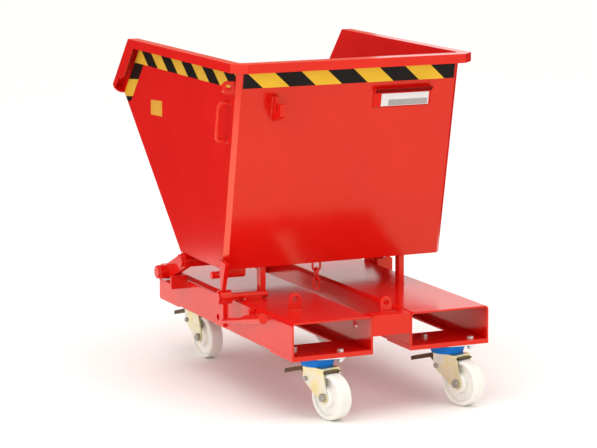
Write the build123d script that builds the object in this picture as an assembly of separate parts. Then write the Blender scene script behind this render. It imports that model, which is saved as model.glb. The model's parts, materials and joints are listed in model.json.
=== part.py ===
from build123d import *
import math
import os

os.makedirs("parts", exist_ok=True)

# Self-tipping hopper on four braked swivel castors, in millimetres.
# X points right, Y points forward (the way the hopper pours), Z points up from the floor.
# Sizes are laid out from the fork pocket mouths at Y = 0; the finished part is moved at
# the end so that the origin lies on the floor under the middle of its bounding box.

# Fits
running_clearance = 0.05
seat_gap = 0.3

# Castors
wheel_diameter = 100.0
wheel_width = 33.0
wheel_edge_chamfer = 4.0
hub_width = 39.0
hub_diameter = 40.0
hub_draft = 3.0
web_width = 16.0
rim_depth = 11.0
rim_draft = 2.0
axle_diameter = 10.0
wheel_top_gap = 4.7
castor_offset = 48.0
castor_headings = {"rear_left": 14.5, "rear_right": 20.0, "front_left": 6.0, "front_right": 12.0}
castor_inset = 44.0
castor_outset = 16.5
castor_flange_radius = 38.0
castor_flange_end_radius = 13.0
castor_plate_thickness = 3.0
castor_hole_spacing_x = 80.0
castor_hole_spacing_y = 60.0
castor_hole_diameter = 9.0
bolt_diameter = 8.0
bolt_head_width = 13.0
bolt_head_height = 5.5
nut_height = 6.5
bolt_tail = 3.0
seal_top_diameter = 78.0
seal_bottom_diameter = 68.0
seal_height = 17.0
seal_wall = 2.5
cup_diameter = 56.0
cup_height = 8.0
king_pin_diameter = 14.0
king_pin_head_diameter = 20.0
king_pin_head_height = 4.5
fork_sheet = 3.5
fork_inner_width = 40.0
fork_top_thickness = 5.0
crown_diameter = 36.0
fork_front = 19.0
fork_rear = 45.0
fork_shoulder_drop = 32.0
fork_end_radius = 13.0
brake_pivot_y = 10.0
brake_pivot_drop = 19.0
brake_bolt_diameter = 6.0
brake_hub_radius = 6.0
pedal_width = 24.0
pedal_root = 20.0
pedal_root_rise = 23.5
pedal_reach = 86.0
pedal_tip_rise = 5.5
pedal_thickness = 9.0
shoe_outer_width = 38.8
shoe_arm = 2.1
shoe_sheet = 2.4
shoe_front = 26.0
shoe_rear = 55.0
shoe_gap = 1.4
shoe_bump = 0.5
shoe_bump_half = 6.0

# Fork pockets
pocket_inner_width = 178.0
pocket_inner_height = 74.0
pocket_sheet = 4.0
pocket_bend = 8.0
pocket_lip = 30.0
pocket_gap = 88.0
pocket_length = 764.0
mount_plate_thickness = 10.0
mount_plate_length = 115.0
pocket_hole_diameter = 20.0
pocket_hole_y = 80.0
pocket_hole_drop = 30.0

# Chassis cross channels, plates and lugs
cross_height = 44.0
cross_flange = 40.0
side_plate_thickness = 8.0
side_plate_rear = 365.0
side_plate_front = 745.0
side_plate_bottom_inset = 8.0
side_plate_top_inset = 6.0
post_width = 13.0
post_depth = 20.0
post_height = 66.0
post_x = 168.0
post_y = 306.0
eye_x = -166.0
eye_y = 130.0
eye_width = 27.0
eye_height = 37.0
eye_thickness = 8.0
eye_hole_diameter = 15.0
lug_y = 32.0
lug_width = 26.0
lug_height = 34.0
lug_thickness = 8.0
lug_hole_diameter = 12.0
guide_y = 198.0
guide_reach = 15.0
guide_height = 30.0
guide_thickness = 8.0

# Hopper sheet
hopper_width = 525.0
hopper_height = 458.0
hopper_sheet = 3.0
rear_foot_y = 292.0
rear_lean = 11.8
floor_length = 252.0
chute_angle = 42.7
chute_length = 504.5
bend_radius = 9.0
corner_bevel = 10.0
rim_side_width = 22.0
rim_rear_width = 32.0
rim_lip = 20.0
rim_chamfer = 28.0
ear_lip = 35.0
ear_lip_end = 63.0
ear_lip_waist = 19.0
ear_lip_waist_end = 42.0
ear_lip_foot = 12.0
ear_end_depth = 28.0
ear_end_radius = 20.0

# Tipping pivot
pivot_y = 620.0
pivot_rise = 9.0
pivot_pin_diameter = 20.0
pivot_head_diameter = 30.0
pivot_head_length = 4.0
hub_length = 22.7
pivot_hub_diameter = 32.0
hub_edge_radius = 3.0
arm_thickness = 14.0
arm_half_width = 17.0
cross_bar_diameter = 30.0
arm_eye_wall = 3.0
cross_bar_y = 525.0
cross_bar_drop = 2.0
cross_bar_overhang = 8.0
arm_side_gap = 0.5
arm_inset = 10.0
cheek_radius = 18.0
bracket_back = 54.0
bracket_outer_x = 278.0
bracket_sheet = 6.0
bracket_drop = 19.0
bracket_base = 13.0
bracket_rear_rise = 8.0

# Latch
latch_y = 281.0
latch_shaft_diameter = 14.0
latch_side_gap = 1.5
latch_shaft_inner_x = 165.0
latch_plate_thickness = 10.0
boss_diameter = 31.0
boss_inner_overhang = 12.0
boss_outer_overhang = 5.0
collar_diameter = 26.0
collar_length = 4.0
catch_pin_diameter = 16.0
catch_pin_ahead = 36.0
catch_pin_above = 43.0
catch_pin_outer_x = 282.0
catch_pin_inner_x = 204.0
catch_block_length = 44.0
catch_block_depth = 18.0
hook_gap = 1.5
hook_nose_gap = 4.0
hook_nose = 12.5
hook_swing = 24.0
hook_stem_angle = 25.0
hook_open_clearance = 8.0
arm_drop = 64.0
arm_rear = 12.0
arm_front = 28.0
arm_hole_diameter = 15.0
arm_hole_drop = 46.0
arm_hole_ahead = 17.0
rod_diameter = 13.0
rod_slope = 11.6
rod_drop = 50.0
rod_length = 213.0
grip_diameter = 21.0
grip_length = 99.0
saddle_length = 40.0
saddle_depth = 26.0
saddle_floor = 2.0

# Hopper fittings
handle_bar_diameter = 10.0
handle_height = 86.0
handle_reach = 26.0
handle_drop = 130.0
handle_inset = 34.0
handle_bend = 14.0
lift_lug_size = 28.0
lift_lug_thickness = 8.0
lift_lug_hole_diameter = 14.0
lift_lug_inset = 18.4
lift_lug_top_gap = 26.0
hook_plate_x = -179.0
hook_plate_thickness = 12.0
hook_plate_drop = 75.0
hook_plate_height = 54.0
hook_plate_reach = 40.0
hook_plate_throat = 14.0
holder_x = 128.0
holder_width = 138.0
holder_drop = 71.0
holder_height = 42.0
holder_sheet = 3.0
holder_hood_reach = 14.0
holder_hood_height = 12.0
type_plate_width = 114.0
type_plate_height = 28.0
type_plate_thickness = 1.5
type_plate_shift = 6.0

# Safety chain
chain_x = -37.0
chain_inset = 12.0
chain_wire = 5.0
chain_eye_radius = 9.0
chain_link_radius = 7.0
chain_play = 0.8
upper_link_straight = 13.0
lower_link_straight = 12.0

# Levels and faces that follow from the sizes above
castor_stack = fork_top_thickness + seat_gap + seal_height + castor_plate_thickness
castor_height = wheel_diameter + wheel_top_gap + castor_stack
brake_pivot_z = wheel_diameter - brake_pivot_drop
pocket_outer_width = pocket_inner_width + 2 * pocket_sheet
pocket_height = pocket_inner_height + 2 * pocket_sheet
pocket_bottom = castor_height
pocket_top = pocket_bottom + pocket_height
pocket_inner_x = pocket_gap / 2
pocket_outer_x = pocket_inner_x + pocket_outer_width
pocket_mid_x = pocket_inner_x + pocket_outer_width / 2
mount_top = pocket_bottom + mount_plate_thickness
side_plate_x = pocket_outer_x + side_plate_thickness
hopper_x = hopper_width / 2
hopper_inner_x = hopper_x - hopper_sheet
floor_z = pocket_top + post_height
rim_z = floor_z + hopper_height
rim_x = hopper_x + rim_side_width
handle_centre_z = rim_z - handle_drop
hook_plate_top_z = rim_z - hook_plate_drop
holder_top_z = rim_z - holder_drop
rear_slope = math.tan(math.radians(rear_lean))
rear_top_y = rear_foot_y - hopper_height * rear_slope
rim_rear_y = rear_top_y - rim_rear_width
rim_join_y = rear_top_y + corner_bevel
chute_foot_y = rear_foot_y + floor_length
chain_y = rear_foot_y + chain_inset
chute_cos = math.cos(math.radians(chute_angle))
chute_sin = math.sin(math.radians(chute_angle))
lip_y = chute_foot_y + chute_length * chute_cos
lip_z = floor_z + chute_length * chute_sin
ear_length = (rim_z - lip_z) / chute_cos
apex_y = lip_y - ear_length * chute_sin
pivot_z = pocket_top + pivot_rise
bracket_rear_y = pivot_y - bracket_back
latch_z = pocket_top + saddle_floor + latch_shaft_diameter / 2
latch_plate_inner_x = hopper_x + latch_side_gap
catch_pin_y = latch_y + catch_pin_ahead
catch_pin_z = latch_z + catch_pin_above
castor_x = pocket_mid_x + castor_outset
castor_rear_y = castor_inset
castor_front_y = pocket_length - castor_inset


def box(x0, x1, y0, y1, z0, z1):
    """Block between the given faces."""
    centre = Pos((x0 + x1) / 2, (y0 + y1) / 2, (z0 + z1) / 2)
    return centre * Box(abs(x1 - x0), abs(y1 - y0), abs(z1 - z0))


def plate_x(section, x0, x1):
    """Plate with an outline in Y and Z, between two X faces."""
    low, high = min(x0, x1), max(x0, x1)
    return extrude(Plane.YZ.offset(low) * section, amount=high - low, dir=(1, 0, 0))


def plate_y(section, y0, y1):
    """Plate with an outline in X and Z, between two Y faces."""
    return extrude(Plane.XZ.offset(-y0) * section, amount=y1 - y0, dir=(0, 1, 0))


def plate_z(section, z0, z1):
    """Plate with an outline in X and Y, between two Z faces."""
    return extrude(Plane.XY.offset(z0) * section, amount=z1 - z0, dir=(0, 0, 1))


def outline(*points):
    """Closed straight-edged outline."""
    return Polygon(*points, align=None)


def bar_x(diameter, x0, x1, y, z):
    """Round bar along X."""
    return plate_x(Pos(y, z) * Circle(diameter / 2), x0, x1)


def bar_z(diameter, z0, z1, x, y):
    """Round bar along Z."""
    return plate_z(Pos(x, y) * Circle(diameter / 2), z0, z1)


def hexagon(width):
    """Hexagon with the given width across its flats."""
    return RegularPolygon(width / math.sqrt(3), 6)


def right(shape):
    """Mirror image of a left-hand piece."""
    return mirror(shape, about=Plane.YZ)


def rear_face_y(z):
    """Outer face of the leaning rear panel at a height."""
    return rear_foot_y - (z - floor_z) * rear_slope


nodes = {}


# Fork pockets: folded channels, open below between two lips, with the bottom cut away
# at both ends where the castor mounting plates close it. A hole near the mouth goes
# through the inner wall.
def fork_pocket():
    outer = RectangleRounded(pocket_outer_width, pocket_height, pocket_bend)
    inner = RectangleRounded(pocket_inner_width, pocket_inner_height, pocket_bend - pocket_sheet)
    slot_width = pocket_outer_width - 2 * pocket_lip
    slot = Pos(0, -pocket_height / 2) * Rectangle(slot_width, 4 * pocket_sheet)
    section = Pos(-pocket_mid_x, pocket_bottom + pocket_height / 2) * (outer - inner - slot)
    channel = plate_y(section, 0, pocket_length)
    for y0 in (0, pocket_length - mount_plate_length):
        y1 = y0 + mount_plate_length
        channel -= box(-pocket_outer_x, -pocket_inner_x, y0, y1, pocket_bottom, mount_top)
    hole_z = pocket_top - pocket_hole_drop
    wall_x = pocket_inner_x + pocket_sheet
    return channel - bar_x(pocket_hole_diameter, -wall_x, -pocket_inner_x, pocket_hole_y, hole_z)


nodes["fork_pocket_left"] = fork_pocket()
nodes["fork_pocket_right"] = right(nodes["fork_pocket_left"])

# Castor stations: the swivel axis of each castor, and its two bolts set on a diagonal
castor_stations = {
    "rear_left": (-castor_x, castor_rear_y),
    "rear_right": (castor_x, castor_rear_y),
    "front_left": (-castor_x, castor_front_y),
    "front_right": (castor_x, castor_front_y),
}
castor_holes = [
    (side * castor_hole_spacing_x / 2, -side * castor_hole_spacing_y / 2) for side in (-1, 1)
]


def mounting_plate(x, y):
    x0 = math.copysign(pocket_mid_x, x) - pocket_outer_width / 2
    y0 = 0 if y < pocket_length / 2 else pocket_length - mount_plate_length
    plate = box(x0, x0 + pocket_outer_width, y0, y0 + mount_plate_length, pocket_bottom, mount_top)
    for dx, dy in castor_holes:
        plate -= bar_z(castor_hole_diameter, pocket_bottom, mount_top, x + dx, y + dy)
    return plate


nodes["castor_mounting_plates"] = [mounting_plate(x, y) for x, y in castor_stations.values()]

# Cross channels between the pockets: an upright face and a flange flush with the pocket tops
rear_angle = outline(
    (0, pocket_top - cross_height),
    (pocket_sheet, pocket_top - cross_height),
    (pocket_sheet, pocket_top - pocket_sheet),
    (cross_flange, pocket_top - pocket_sheet),
    (cross_flange, pocket_top),
    (0, pocket_top),
)
nodes["rear_cross_channel"] = plate_x(rear_angle, -pocket_inner_x, pocket_inner_x)
nodes["front_cross_channel"] = mirror(
    nodes["rear_cross_channel"], about=Plane.XZ.offset(-pocket_length / 2)
)

# Side plates on the outer pocket walls
nodes["side_plate_left"] = box(
    -side_plate_x,
    -pocket_outer_x,
    side_plate_rear,
    side_plate_front,
    pocket_bottom + side_plate_bottom_inset,
    pocket_top - side_plate_top_inset,
)
nodes["side_plate_right"] = right(nodes["side_plate_left"])

# Pivot brackets on the side plates: an upright block for the pin, a base under the arm's
# hub and a rear plate. The pin stands out of the block and carries the hub.
arm_inner_x = hopper_x - arm_inset
arm_outer_x = arm_inner_x + arm_thickness
hub_outer_x = arm_outer_x + hub_length
pin_head_x = hub_outer_x + seat_gap
bracket_bottom = pivot_z - bracket_drop - bracket_base
bracket_front_y = pivot_y + cheek_radius
cross_bar_z = floor_z - cross_bar_diameter / 2 - cross_bar_drop


def pivot_bracket():
    block = outline(
        (bracket_rear_y, bracket_bottom),
        (bracket_front_y, bracket_bottom),
        (bracket_front_y, pivot_z),
        (pivot_y - cheek_radius, pivot_z),
        (bracket_rear_y, bracket_bottom + bracket_base),
    )
    block += Pos(pivot_y, pivot_z) * Circle(cheek_radius)
    bracket = plate_x(block, -arm_inner_x + arm_side_gap, -side_plate_x)
    bracket += box(
        -bracket_outer_x,
        -side_plate_x,
        bracket_rear_y,
        bracket_front_y,
        bracket_bottom,
        bracket_bottom + bracket_base,
    )
    bracket += box(
        -bracket_outer_x,
        -side_plate_x,
        bracket_rear_y,
        bracket_rear_y + bracket_sheet,
        bracket_bottom,
        pocket_top + bracket_rear_rise,
    )
    return bracket - bar_x(pivot_pin_diameter, -bracket_outer_x, -side_plate_x, pivot_y, pivot_z)


nodes["pivot_bracket_left"] = pivot_bracket()
nodes["pivot_bracket_right"] = right(nodes["pivot_bracket_left"])


def pivot_pin():
    shank = bar_x(pivot_pin_diameter, -pin_head_x, -side_plate_x, pivot_y, pivot_z)
    end_x = pin_head_x + pivot_head_length
    head = bar_x(pivot_head_diameter, -end_x, -pin_head_x, pivot_y, pivot_z)
    return shank + fillet(head.edges().sort_by(Axis.X)[0], pivot_head_length * 0.7)


pivot_pin_left = pivot_pin()
nodes["pivot_pins"] = [pivot_pin_left, right(pivot_pin_left)]

# Support posts under the hopper floor; the floor rests on them with a seat gap
nodes["support_posts"] = [
    box(
        sx * post_x - post_width / 2,
        sx * post_x + post_width / 2,
        post_y - post_depth / 2,
        post_y + post_depth / 2,
        pocket_top,
        floor_z - seat_gap,
    )
    for sx in (-1, 1)
]


# Upright lugs with a round top and a hole
def upright_lug(x, y, width, height, thickness, hole):
    body = Pos(0, (height - width / 2) / 2) * Rectangle(width, height - width / 2)
    body += Pos(0, height - width / 2) * Circle(width / 2)
    body -= Pos(0, height - width / 2) * Circle(hole / 2)
    return plate_y(Pos(x, pocket_top) * body, y - thickness / 2, y + thickness / 2)


nodes["lashing_eye"] = upright_lug(
    eye_x, eye_y, eye_width, eye_height, eye_thickness, eye_hole_diameter
)
nodes["rear_lug"] = upright_lug(0, lug_y, lug_width, lug_height, lug_thickness, lug_hole_diameter)

# Guide plate beside the latch handle, on the left pocket wall
guide_top = pocket_top
nodes["handle_guide"] = plate_y(
    outline(
        (-pocket_outer_x, guide_top),
        (-pocket_outer_x - guide_reach, guide_top - guide_reach / 2),
        (-pocket_outer_x - guide_reach, guide_top - guide_height + guide_reach),
        (-pocket_outer_x, guide_top - guide_height),
    ),
    guide_y - guide_thickness / 2,
    guide_y + guide_thickness / 2,
)

# Latch shaft on its saddle on the left pocket; a collar keeps the lever on
latch_plate_outer_x = latch_plate_inner_x + latch_plate_thickness
boss_inner_x = latch_plate_inner_x - boss_inner_overhang
boss_outer_x = latch_plate_outer_x + boss_outer_overhang
collar_x = boss_outer_x + seat_gap
saddle_outer_x = pocket_outer_x - pocket_bend
nodes["latch_shaft"] = bar_x(
    latch_shaft_diameter, -collar_x, -latch_shaft_inner_x, latch_y, latch_z
) + bar_x(collar_diameter, -collar_x - collar_length, -collar_x, latch_y, latch_z)
nodes["latch_saddle"] = box(
    -saddle_outer_x,
    -saddle_outer_x + saddle_length,
    latch_y - saddle_depth / 2,
    latch_y + saddle_depth / 2,
    pocket_top,
    latch_z,
) - bar_x(latch_shaft_diameter, -saddle_outer_x, -saddle_outer_x + saddle_length, latch_y, latch_z)


# Latch lever: hook, boss and lower arm cut from one plate. It is drawn latched, then
# swung back by the hook swing so that the hook stands clear behind the catch pin. The
# nose is cut concentric with the shaft, so that it slides over the pin without lifting it.
def polar(radius, angle):
    """Point at an angle forward of straight up, seen from the latch shaft."""
    a = math.radians(angle)
    return (radius * math.sin(a), radius * math.cos(a))


def latch_lever():
    pin_radius = math.hypot(catch_pin_ahead, catch_pin_above)
    pin_angle = math.degrees(math.atan2(catch_pin_ahead, catch_pin_above))
    pin_half = math.degrees(math.asin((catch_pin_diameter / 2 + hook_gap) / pin_radius))
    nose_inner = pin_radius + catch_pin_diameter / 2 + hook_nose_gap
    nose_outer = nose_inner + hook_nose
    stem_front = pin_angle - pin_half - hook_swing
    stem_rear = stem_front - hook_stem_angle
    nose_front = pin_angle - pin_half - hook_open_clearance
    far = 2 * nose_outer
    stem_wedge = outline((0, 0), polar(far, stem_rear), polar(far, stem_front))
    nose_wedge = outline((0, 0), polar(far, stem_rear), polar(far, nose_front))
    stem = stem_wedge & Circle(nose_outer)
    nose = nose_wedge & (Circle(nose_outer) - Circle(nose_inner))
    arm = outline(
        (-arm_rear, 0),
        (arm_rear, 0),
        (arm_front, -arm_drop / 2),
        (arm_front, -arm_drop),
        (-arm_rear, -arm_drop),
    )
    section = stem + nose + arm
    section -= Pos(arm_hole_ahead, -arm_hole_drop) * Circle(arm_hole_diameter / 2)
    plate = plate_x(Pos(latch_y, latch_z) * section, -latch_plate_outer_x, -latch_plate_inner_x)
    lever = plate + bar_x(boss_diameter, -boss_outer_x, -boss_inner_x, latch_y, latch_z)
    bore = latch_shaft_diameter + 2 * running_clearance
    return lever - bar_x(bore, -boss_outer_x, -boss_inner_x, latch_y, latch_z)


nodes["latch_lever"] = latch_lever()

# Handle rod, butted against the rear edge of the lower arm, and its grip sleeve
latch_mid_x = latch_plate_inner_x + latch_plate_thickness / 2
rod_foot = (-latch_mid_x, latch_y - arm_rear, latch_z - rod_drop)
rod_dir = (0, -math.cos(math.radians(rod_slope)), math.sin(math.radians(rod_slope)))


def along_rod(distance):
    return tuple(p + distance * d for p, d in zip(rod_foot, rod_dir))


def rod_piece(radius, start, length):
    return extrude(Plane(origin=along_rod(start), z_dir=rod_dir) * Circle(radius), amount=length)


lower_arm = box(
    -latch_plate_outer_x,
    -latch_plate_inner_x,
    latch_y - arm_rear,
    latch_y + arm_front,
    latch_z - arm_drop,
    latch_z,
)
rod = rod_piece(rod_diameter / 2, -rod_diameter / 2, rod_length + rod_diameter / 2)
nodes["latch_rod"] = rod - lower_arm
nodes["latch_grip"] = rod_piece(
    grip_diameter / 2, rod_length - grip_length, grip_length
) - rod_piece(rod_diameter / 2, rod_length - grip_length, grip_length)


# Hopper wrap: rear panel with bevelled corners, floor and chute as one folded sheet,
# with the rear rim folded out and down.
def rear_panel():
    t = hopper_sheet
    miter = t * math.tan(math.radians(22.5))
    y = rear_foot_y
    half = [
        (hopper_x - corner_bevel, y),
        (hopper_x, y + corner_bevel),
        (hopper_inner_x, y + corner_bevel),
        (hopper_inner_x, y + corner_bevel + miter),
        (hopper_x - corner_bevel - miter, y + t),
    ]
    other = [(-x, yy) for x, yy in reversed(half)]
    face = Plane.XY.offset(floor_z) * outline(*half, *other)
    lean = Vector(0, -rear_slope, 1)
    return extrude(face, amount=hopper_height * lean.length, dir=lean)


def floor_and_chute():
    t = hopper_sheet
    y0 = rear_foot_y + corner_bevel
    half_turn = math.tan(math.radians(chute_angle / 2))
    profile = outline(
        (y0, floor_z),
        (chute_foot_y, floor_z),
        (lip_y, lip_z),
        (lip_y - t * chute_sin, lip_z + t * chute_cos),
        (chute_foot_y - t * half_turn, floor_z + t),
        (y0, floor_z + t),
    )
    bends = profile.vertices().filter_by(lambda v: abs(v.X - chute_foot_y) < 2 * t)
    profile = fillet(bends.sort_by(Axis.Y)[0], bend_radius)
    bends = profile.vertices().filter_by(
        lambda v: abs(v.X - chute_foot_y + t * half_turn) < 0.01 and abs(v.Y - floor_z - t) < 0.01
    )
    profile = fillet(bends, bend_radius - t)
    sheet = plate_x(profile, -hopper_inner_x, hopper_inner_x)
    inset = hopper_x - corner_bevel
    step = rear_foot_y + corner_bevel - t
    tail = outline(
        (-hopper_inner_x, y0),
        (-hopper_inner_x, step),
        (-inset, rear_foot_y),
        (inset, rear_foot_y),
        (hopper_inner_x, step),
        (hopper_inner_x, y0),
    )
    return sheet + plate_z(tail, floor_z, floor_z + t)


def rear_rim():
    t = hopper_sheet
    miter = t * math.tan(math.radians(22.5))
    inset = hopper_x - corner_bevel
    outer_half = [
        (rim_x - rim_chamfer, rim_rear_y),
        (rim_x, rim_rear_y + rim_chamfer),
        (rim_x, rim_join_y),
    ]
    inner_half = [(hopper_inner_x, rim_join_y), (inset - miter, rear_top_y + t)]
    lip_half = [
        (rim_x - t, rim_join_y),
        (rim_x - t, rim_rear_y + rim_chamfer + miter),
        (rim_x - rim_chamfer - miter, rim_rear_y + t),
    ]
    half = outer_half + inner_half
    flange = outline(*half, *[(-x, y) for x, y in reversed(half)])
    half = outer_half + lip_half
    lip = outline(*half, *[(-x, y) for x, y in reversed(half)])
    return plate_z(flange, rim_z - t, rim_z) + plate_z(lip, rim_z - rim_lip, rim_z)


nodes["hopper_wrap"] = rear_panel() + floor_and_chute() + rear_rim()


# Hopper sides: flat sheet with the rim folded out and down along the top, and the fold
# carried down the ear edge, which stands square to the chute. The ear's lip is deeper,
# narrows to its foot, and a plate in line with the chute closes the fold at the bottom.
def ear_point(rise, back):
    """Point of the side: rise up the ear edge from the pouring lip, back from that edge."""
    return (
        lip_y - rise * chute_sin - back * chute_cos,
        lip_z + rise * chute_cos - back * chute_sin,
    )


def hopper_side():
    t = hopper_sheet
    sheet = plate_x(
        outline(
            (rear_foot_y + corner_bevel, floor_z),
            (chute_foot_y, floor_z),
            (lip_y, lip_z),
            (apex_y, rim_z),
            (rim_join_y, rim_z),
        ),
        -hopper_x,
        -hopper_inner_x,
    )
    turn = t * math.tan(math.radians((90 - chute_angle) / 2))
    flange = plate_x(
        outline(
            (rim_join_y, rim_z),
            (apex_y, rim_z),
            (lip_y, lip_z),
            ear_point(0, t),
            (apex_y - turn, rim_z - t),
            (rim_join_y, rim_z - t),
        ),
        -rim_x,
        -hopper_x,
    )
    corner_rise = (rim_z - rim_lip - lip_z + ear_lip * chute_sin) / chute_cos
    lip = plate_x(
        outline(
            (rim_join_y, rim_z),
            (apex_y, rim_z),
            (lip_y, lip_z),
            ear_point(0, ear_lip_foot),
            ear_point(ear_lip_waist_end, ear_lip_waist),
            ear_point(ear_lip_end, ear_lip),
            ear_point(corner_rise, ear_lip),
            (rim_join_y, rim_z - rim_lip),
        ),
        -rim_x,
        -rim_x + t,
    )
    ear_end = plate_x(
        outline(
            (lip_y, lip_z),
            ear_point(0, ear_end_depth),
            ear_point(t, ear_end_depth),
            ear_point(t, 0),
        ),
        -rim_x,
        -hopper_x,
    )
    corner = ear_end.edges().filter_by(
        lambda e: abs(e.center().X + rim_x) < 0.01 and abs(e.length - t) < 0.01
    )
    ear_end = fillet(corner.sort_by(Axis.Y)[0], ear_end_radius)
    return sheet + flange + lip + ear_end


nodes["hopper_side_left"] = hopper_side()
nodes["hopper_side_right"] = right(nodes["hopper_side_left"])

# Cross bar under the floor, carried by the two pivot arms
cross_bar_end_x = arm_outer_x + cross_bar_overhang
nodes["pivot_bar"] = bar_x(
    cross_bar_diameter, -cross_bar_end_x, cross_bar_end_x, cross_bar_y, cross_bar_z
)


def pivot_arm():
    turn = math.degrees(math.atan2(pivot_z - cross_bar_z, pivot_y - cross_bar_y))
    reach = math.hypot(pivot_z - cross_bar_z, pivot_y - cross_bar_y)
    middle = Pos((pivot_y + cross_bar_y) / 2, (pivot_z + cross_bar_z) / 2)
    section = middle * Rot(0, 0, turn) * Rectangle(reach, 2 * arm_half_width)
    section += Pos(pivot_y, pivot_z) * Circle(arm_half_width)
    section += Pos(cross_bar_y, cross_bar_z) * Circle(cross_bar_diameter / 2 + arm_eye_wall)
    section -= Pos(cross_bar_y, cross_bar_z) * Circle(cross_bar_diameter / 2)
    arm = plate_x(section, -arm_outer_x, -arm_inner_x)
    above = floor_z + cross_bar_diameter
    arm -= box(-arm_outer_x, -arm_inner_x, rear_foot_y, pivot_y, floor_z, above)
    hub = bar_x(pivot_hub_diameter, -hub_outer_x, -arm_outer_x, pivot_y, pivot_z)
    hub = fillet(hub.edges().sort_by(Axis.X)[0], hub_edge_radius)
    bore = pivot_pin_diameter + 2 * running_clearance
    return arm + hub - bar_x(bore, -hub_outer_x, -arm_inner_x, pivot_y, pivot_z)


nodes["pivot_arm_left"] = pivot_arm()
nodes["pivot_arm_right"] = right(nodes["pivot_arm_left"])

# Catch pin for the latch hook, in a grooved block under the floor
nodes["catch_pin"] = bar_x(
    catch_pin_diameter, -catch_pin_outer_x, -catch_pin_inner_x, catch_pin_y, catch_pin_z
)
catch_block_x = catch_pin_inner_x + catch_block_length
nodes["catch_block"] = box(
    -catch_block_x,
    -catch_pin_inner_x,
    catch_pin_y - catch_block_depth / 2,
    catch_pin_y + catch_block_depth / 2,
    catch_pin_z,
    floor_z,
) - bar_x(catch_pin_diameter, -catch_block_x, -catch_pin_inner_x, catch_pin_y, catch_pin_z)


# Side handle: a bent round bar on the left side, parallel to the leaning rear edge
def side_handle():
    reach_x = hopper_x + handle_reach
    top = handle_height / 2
    centre_y = rear_face_y(handle_centre_z) + handle_inset
    straight = top - handle_bend
    grip = bar_z(handle_bar_diameter, -straight, straight, -reach_x, 0)
    handle = grip
    for side in (-1, 1):
        leg = bar_x(handle_bar_diameter, -reach_x + handle_bend, -hopper_x, 0, side * top)
        bend_axis = Axis((-reach_x + handle_bend, 0, side * straight), (0, 1, 0))
        face = Plane.XY.offset(side * straight) * Pos(-reach_x, 0) * Circle(handle_bar_diameter / 2)
        handle += leg + revolve(face, bend_axis, side * 90)
    return Pos(0, centre_y, handle_centre_z) * Rot(rear_lean, 0, 0) * handle


nodes["side_handle"] = side_handle()


# Lifting lug under the rim near the rear left corner
def lifting_lug():
    centre_z = rim_z - lift_lug_top_gap - lift_lug_size
    mid_x = -hopper_x - lift_lug_size / 2
    body = Pos(mid_x / 2 - hopper_x / 2, centre_z) * Rectangle(lift_lug_size / 2, lift_lug_size)
    body += Pos(mid_x, centre_z) * Circle(lift_lug_size / 2)
    body -= Pos(mid_x, centre_z) * Circle(lift_lug_hole_diameter / 2)
    half = lift_lug_thickness / 2
    centre_y = rear_face_y(centre_z) + lift_lug_inset
    return plate_y(body, centre_y - half, centre_y + half)


nodes["lifting_lug"] = lifting_lug()


# Hook plate on the rear panel, open upwards
def rear_hook():
    top = hook_plate_top_z
    bottom = top - hook_plate_height
    out = rear_face_y(top) - hook_plate_reach
    throat_y = rear_face_y(top) - hook_plate_throat
    section = outline(
        (rear_face_y(top), top),
        (throat_y, top),
        (throat_y, top - hook_plate_height / 2),
        (throat_y - hook_plate_throat, top - hook_plate_height / 2),
        (throat_y - hook_plate_throat, top - hook_plate_throat),
        (out, top - hook_plate_throat),
        (out, bottom + hook_plate_throat),
        (rear_face_y(bottom) - hook_plate_throat, bottom),
        (rear_face_y(bottom), bottom),
    )
    return plate_x(section, hook_plate_x, hook_plate_x + hook_plate_thickness)


nodes["rear_hook"] = rear_hook()


# Plate holder with a small hood, and the blank plate on it
def on_rear_panel(points):
    """Outline from distances off the rear panel and heights."""
    return outline(*[(rear_face_y(z) - d, z) for d, z in points])


holder_x0 = holder_x - holder_width / 2
holder_bottom_z = holder_top_z - holder_height
nodes["plate_holder"] = plate_x(
    on_rear_panel(
        [
            (0, holder_bottom_z),
            (holder_sheet, holder_bottom_z),
            (holder_sheet, holder_top_z - holder_hood_height),
            (holder_hood_reach, holder_top_z),
            (0, holder_top_z),
        ]
    ),
    holder_x0,
    holder_x0 + holder_width,
)
type_plate_top = holder_top_z - holder_hood_height
type_plate_x0 = holder_x + type_plate_shift - type_plate_width / 2
nodes["type_plate"] = plate_x(
    on_rear_panel(
        [
            (holder_sheet, type_plate_top - type_plate_height),
            (holder_sheet + type_plate_thickness, type_plate_top - type_plate_height),
            (holder_sheet + type_plate_thickness, type_plate_top),
            (holder_sheet, type_plate_top),
        ]
    ),
    type_plate_x0,
    type_plate_x0 + type_plate_width,
)

# Safety chain: a U-shaped eye under the floor and two links, each turned a quarter from
# the one above it and hanging with a little play.
wire = Circle(chain_wire / 2)
eye_bend_z = floor_z - chain_eye_radius - chain_wire / 2
eye_low_z = eye_bend_z - chain_eye_radius


def half_ring(radius, side):
    """Half of a ring in X and Z about the origin, above or below it."""
    face = Pos(radius, 0) * wire
    return revolve(face, Axis((0, 0, 0), (0, 1, 0)), -180 * side)


def chain_link(straight):
    """Oval link in X and Z, its middle at the origin."""
    link = Pos(0, 0, straight / 2) * half_ring(chain_link_radius, 1)
    link += Pos(0, 0, -straight / 2) * half_ring(chain_link_radius, -1)
    for side in (-1, 1):
        link += bar_z(chain_wire, -straight / 2, straight / 2, side * chain_link_radius, 0)
    return link


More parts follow.
